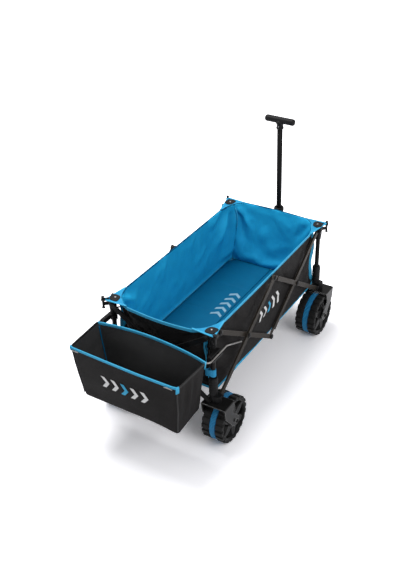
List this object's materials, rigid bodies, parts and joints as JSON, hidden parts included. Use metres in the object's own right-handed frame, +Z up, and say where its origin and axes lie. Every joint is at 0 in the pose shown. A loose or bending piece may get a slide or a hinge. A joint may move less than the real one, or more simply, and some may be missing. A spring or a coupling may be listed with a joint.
{
  "type": "wagon with pull handle",
  "caption": "Folding fabric wagon on a scissor frame with telescoping posts, block-tread wheels, front casters, a telescopic T handle and a rear bin on a wire frame.",
  "frame": {"origin": "on the ground under the middle of the whole wagon, bin and handle included", "axes": "+X towards the pull handle, +Y to the wagon's left, +Z up"},
  "size_m": [1.295, 0.624, 1.0131],
  "materials": {
    "moulding": "fine grain",
    "post_tube": "satin powder coat",
    "link_tube": "satin powder coat",
    "fork_steel": "satin powder coat",
    "wheel_core": "satin",
    "tread": "matte",
    "body_fabric": "woven polyester",
    "tab_fabric": "webbing",
    "bin_fabric": "woven polyester",
    "wire": "drawn wire",
    "strap_fabric": "hook and loop"
  },
  "bodies": {
    "rear_right_leg": {"foot_rr": "moulding", "post_rr": "post_tube", "fork_rr": "fork_steel", "hook_rr": "moulding", "strap": "strap_fabric"},
    "rear_right_cap": {"cap_rr": "moulding", "stem_rr": "post_tube", "tab_rr": "tab_fabric", "wall_right": "body_fabric", "wall_rear": "body_fabric"},
    "rear_left_leg": {"foot_rl": "moulding", "post_rl": "post_tube", "fork_rl": "fork_steel", "hook_rl": "moulding"},
    "rear_left_cap": {"cap_rl": "moulding", "stem_rl": "post_tube", "tab_rl": "tab_fabric", "wall_left": "body_fabric"},
    "front_right_leg": {"foot_fr": "moulding", "post_fr": "post_tube"},
    "front_right_cap": {"cap_fr": "moulding", "stem_fr": "post_tube", "tab_fr": "tab_fabric", "wall_front": "body_fabric"},
    "front_left_leg": {"foot_fl": "moulding", "post_fl": "post_tube"},
    "front_left_cap": {"cap_fl": "moulding", "stem_fl": "post_tube", "tab_fl": "tab_fabric"},
    "floor_right": {"floor_right": "body_fabric"},
    "floor_left": {"floor_left": "body_fabric"},
    "yoke": {"yoke": "fork_steel"},
    "handle": {"handle_tube": "post_tube", "collar": "moulding"},
    "handle_rod": {"handle_rod": "post_tube", "grip": "moulding"},
    "bin": {"bin_bag": "bin_fabric", "bin_frame": "wire"},
    "caster_front_right": {"fork_fr": "fork_steel"},
    "caster_front_left": {"fork_fl": "fork_steel"},
    "link_r1": {"link_r1": "link_tube"},
    "link_r2": {"link_r2": "link_tube"},
    "link_r3": {"link_r3": "link_tube"},
    "link_r4": {"link_r4": "link_tube"},
    "link_l1": {"link_l1": "link_tube"},
    "link_l2": {"link_l2": "link_tube"},
    "link_l3": {"link_l3": "link_tube"},
    "link_l4": {"link_l4": "link_tube"},
    "link_rear_a": {"link_rear_a": "post_tube"},
    "link_rear_b": {"link_rear_b": "post_tube"},
    "link_front_a": {"link_front_a": "post_tube"},
    "link_front_b": {"link_front_b": "post_tube"},
    "wheel_rear_right": {"core_rr": "wheel_core", "tread_rr": "tread"},
    "wheel_rear_left": {"core_rl": "wheel_core", "tread_rl": "tread"},
    "wheel_front_right": {"core_fr": "wheel_core", "tread_fr": "tread"},
    "wheel_front_left": {"core_fl": "wheel_core", "tread_fl": "tread"}
  },
  "joints": [
    {"name": "fold", "type": "hinge", "parent": "rear_right_leg", "child": "link_r1", "pos_m": [-0.3525, -0.249, 0.226], "axis": [0, -1, 0], "range_deg": [0, 39], "deforming": ["wall_right", "wall_left", "wall_rear", "wall_front", "floor_right", "floor_left"]},
    {"name": "right_link_4", "type": "hinge", "parent": "link_r1", "child": "link_r4", "pos_m": [-0.13, -0.244, 0.3795], "axis": [0, -1, 0], "range_deg": [-78, 0]},
    {"name": "right_link_2", "type": "hinge", "parent": "link_r1", "child": "link_r2", "pos_m": [0.0925, -0.249, 0.533], "axis": [0, -1, 0], "range_deg": [-78, 0]},
    {"name": "right_link_3", "type": "hinge", "parent": "link_r2", "child": "link_r3", "pos_m": [0.315, -0.244, 0.3795], "axis": [0, -1, 0], "range_deg": [0, 78]},
    {"name": "left_link_1", "type": "hinge", "parent": "rear_left_leg", "child": "link_l1", "pos_m": [-0.3525, 0.249, 0.226], "axis": [0, -1, 0], "range_deg": [0, 39]},
    {"name": "left_link_4", "type": "hinge", "parent": "link_l1", "child": "link_l4", "pos_m": [-0.13, 0.244, 0.3795], "axis": [0, -1, 0], "range_deg": [-78, 0]},
    {"name": "left_link_2", "type": "hinge", "parent": "link_l1", "child": "link_l2", "pos_m": [0.0925, 0.249, 0.533], "axis": [0, -1, 0], "range_deg": [-78, 0]},
    {"name": "left_link_3", "type": "hinge", "parent": "link_l2", "child": "link_l3", "pos_m": [0.315, 0.244, 0.3795], "axis": [0, -1, 0], "range_deg": [0, 78]},
    {"name": "rear_right_cap_rise", "type": "hinge", "parent": "link_r4", "child": "rear_right_cap", "pos_m": [-0.3525, -0.239, 0.533], "axis": [0, -1, 0], "range_deg": [0, 39]},
    {"name": "front_right_leg_swing", "type": "hinge", "parent": "link_r2", "child": "front_right_leg", "pos_m": [0.5375, -0.249, 0.226], "axis": [0, -1, 0], "range_deg": [0, 39]},
    {"name": "front_right_cap_rise", "type": "hinge", "parent": "link_r3", "child": "front_right_cap", "pos_m": [0.5375, -0.239, 0.533], "axis": [0, -1, 0], "range_deg": [-39, 0]},
    {"name": "rear_left_cap_rise", "type": "hinge", "parent": "link_l4", "child": "rear_left_cap", "pos_m": [-0.3525, 0.239, 0.533], "axis": [0, -1, 0], "range_deg": [0, 39]},
    {"name": "front_left_leg_swing", "type": "hinge", "parent": "link_l2", "child": "front_left_leg", "pos_m": [0.5375, 0.249, 0.226], "axis": [0, -1, 0], "range_deg": [0, 39]},
    {"name": "front_left_cap_rise", "type": "hinge", "parent": "link_l3", "child": "front_left_cap", "pos_m": [0.5375, 0.239, 0.533], "axis": [0, -1, 0], "range_deg": [-39, 0]},
    {"name": "rear_link_a", "type": "hinge", "parent": "rear_right_leg", "child": "link_rear_a", "pos_m": [-0.4035, -0.2225, 0.226], "axis": [1, 0, 0], "range_deg": [0, 39]},
    {"name": "rear_link_b", "type": "hinge", "parent": "link_rear_a", "child": "link_rear_b", "pos_m": [-0.4085, 0, 0.3795], "axis": [1, 0, 0], "range_deg": [-78, 0]},
    {"name": "rear_left_leg_swing", "type": "hinge", "parent": "link_rear_b", "child": "rear_left_leg", "pos_m": [-0.4135, 0.2225, 0.226], "axis": [1, 0, 0], "range_deg": [0, 39]},
    {"name": "front_link_a", "type": "hinge", "parent": "front_right_leg", "child": "link_front_a", "pos_m": [0.5885, -0.2225, 0.226], "axis": [1, 0, 0], "range_deg": [0, 39]},
    {"name": "front_link_b", "type": "hinge", "parent": "link_front_a", "child": "link_front_b", "pos_m": [0.5935, 0, 0.3795], "axis": [1, 0, 0], "range_deg": [-78, 0]},
    {"name": "yoke_level", "type": "hinge", "parent": "link_front_a", "child": "yoke", "pos_m": [0.606, 0, 0.3795], "axis": [1, 0, 0], "range_deg": [-39, 0]},
    {"name": "floor_right_lift", "type": "hinge", "parent": "rear_right_cap", "child": "floor_right", "pos_m": [0.0925, -0.2185, 0.239], "axis": [1, 0, 0], "range_deg": [0, 70.2]},
    {"name": "floor_left_lift", "type": "hinge", "parent": "rear_left_cap", "child": "floor_left", "pos_m": [0.0925, 0.2185, 0.239], "axis": [1, 0, 0], "range_deg": [-70.2, 0]},
    {"name": "handle_tilt", "type": "hinge", "parent": "yoke", "child": "handle", "pos_m": [0.6325, 0, 0.262], "axis": [0, 1, 0], "range_deg": [0, 92]},
    {"name": "handle_slide", "type": "slide", "parent": "handle", "child": "handle_rod", "axis": [-0.0332, 0, 0.9995], "range_m": [-0.24, 0]},
    {"name": "rear_right_spin", "type": "hinge", "parent": "rear_right_leg", "child": "wheel_rear_right", "pos_m": [-0.3325, -0.252, 0.1016], "axis": [0, 1, 0], "continuous": true},
    {"name": "rear_left_spin", "type": "hinge", "parent": "rear_left_leg", "child": "wheel_rear_left", "pos_m": [-0.3325, 0.252, 0.1016], "axis": [0, 1, 0], "continuous": true},
    {"name": "front_right_swivel", "type": "hinge", "parent": "front_right_leg", "child": "caster_front_right", "pos_m": [0.5655, -0.252, 0.22], "axis": [0, 0, 1], "continuous": true},
    {"name": "front_right_spin", "type": "hinge", "parent": "caster_front_right", "child": "wheel_front_right", "pos_m": [0.5175, -0.252, 0.1016], "axis": [0, 1, 0], "continuous": true},
    {"name": "front_left_swivel", "type": "hinge", "parent": "front_left_leg", "child": "caster_front_left", "pos_m": [0.5655, 0.252, 0.22], "axis": [0, 0, 1], "continuous": true},
    {"name": "front_left_spin", "type": "hinge", "parent": "caster_front_left", "child": "wheel_front_left", "pos_m": [0.5175, 0.252, 0.1016], "axis": [0, 1, 0], "continuous": true},
    {"name": "bin_lift", "type": "slide", "parent": "rear_right_leg", "child": "bin", "axis": [0, 0, 1], "range_m": [0, 0.044]}
  ],
  "couplings": [
    {"joint": "right_link_4", "follows": "fold", "ratio": -2},
    {"joint": "right_link_2", "follows": "fold", "ratio": -2},
    {"joint": "right_link_3", "follows": "fold", "ratio": 2},
    {"joint": "left_link_1", "follows": "fold", "ratio": 1},
    {"joint": "left_link_4", "follows": "fold", "ratio": -2},
    {"joint": "left_link_2", "follows": "fold", "ratio": -2},
    {"joint": "left_link_3", "follows": "fold", "ratio": 2},
    {"joint": "rear_right_cap_rise", "follows": "fold", "ratio": 1},
    {"joint": "front_right_leg_swing", "follows": "fold", "ratio": 1},
    {"joint": "front_right_cap_rise", "follows": "fold", "ratio": -1},
    {"joint": "rear_left_cap_rise", "follows": "fold", "ratio": 1},
    {"joint": "front_left_leg_swing", "follows": "fold", "ratio": 1},
    {"joint": "front_left_cap_rise", "follows": "fold", "ratio": -1},
    {"joint": "rear_link_a", "follows": "fold", "ratio": 1},
    {"joint": "rear_link_b", "follows": "fold", "ratio": -2},
    {"joint": "rear_left_leg_swing", "follows": "fold", "ratio": 1},
    {"joint": "front_link_a", "follows": "fold", "ratio": 1},
    {"joint": "front_link_b", "follows": "fold", "ratio": -2},
    {"joint": "yoke_level", "follows": "fold", "ratio": -1},
    {"joint": "floor_right_lift", "follows": "fold", "ratio": 1.8},
    {"joint": "floor_left_lift", "follows": "fold", "ratio": -1.8}
  ]
}
